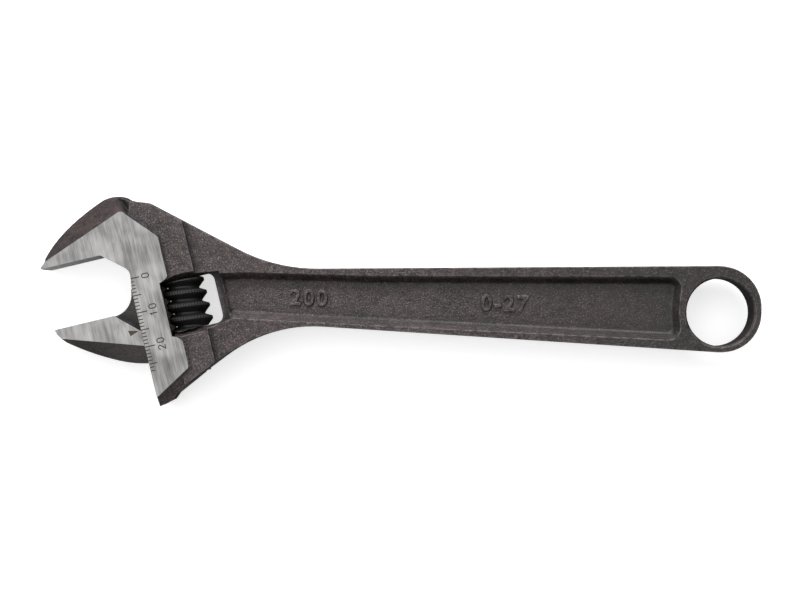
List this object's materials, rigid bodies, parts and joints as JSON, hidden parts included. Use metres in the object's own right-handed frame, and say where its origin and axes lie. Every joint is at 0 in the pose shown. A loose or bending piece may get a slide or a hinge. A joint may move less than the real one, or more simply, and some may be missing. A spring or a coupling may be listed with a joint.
{
  "type": "adjustable wrench",
  "caption": "Adjustable wrench with a screw-driven sliding jaw, 27 mm capacity, millimetre scale on the head and a hanging hole in the handle.",
  "frame": {"origin": "centre of the hanging hole, half way through the handle's thickness", "axes": "+X towards the hanging end of the handle, +Y towards the fixed jaw's side, +Z out of the face that carries the scale"},
  "size_m": [0.2075, 0.0602, 0.0148],
  "materials": {
    "forged_steel": "black phosphated forging with ground cheeks",
    "jaw_steel": "black phosphated forging with ground cheeks",
    "worm_steel": "black oxide",
    "pin_steel": "turned steel",
    "spring_steel": "drawn spring wire"
  },
  "bodies": {
    "handle": {"body": "forged_steel", "worm_pin": "pin_steel", "worm_spring": "spring_steel"},
    "jaw": {"movable_jaw": "jaw_steel"},
    "worm": {"adjusting_worm": "worm_steel"}
  },
  "joints": [
    {"name": "worm_spin", "type": "hinge", "parent": "handle", "child": "worm", "pos_m": [-0.15367, -0.00211, 0], "axis": [0.2588, -0.9659, 0], "range_deg": [-1677.84, 872.58]},
    {"name": "jaw_slide", "type": "slide", "parent": "handle", "child": "jaw", "axis": [0.2588, -0.9659, 0], "range_m": [-0.0177, 0.0092]}
  ],
  "couplings": [
    {"joint": "worm_spin", "follows": "jaw_slide", "rad_per_m": 1653.5}
  ]
}
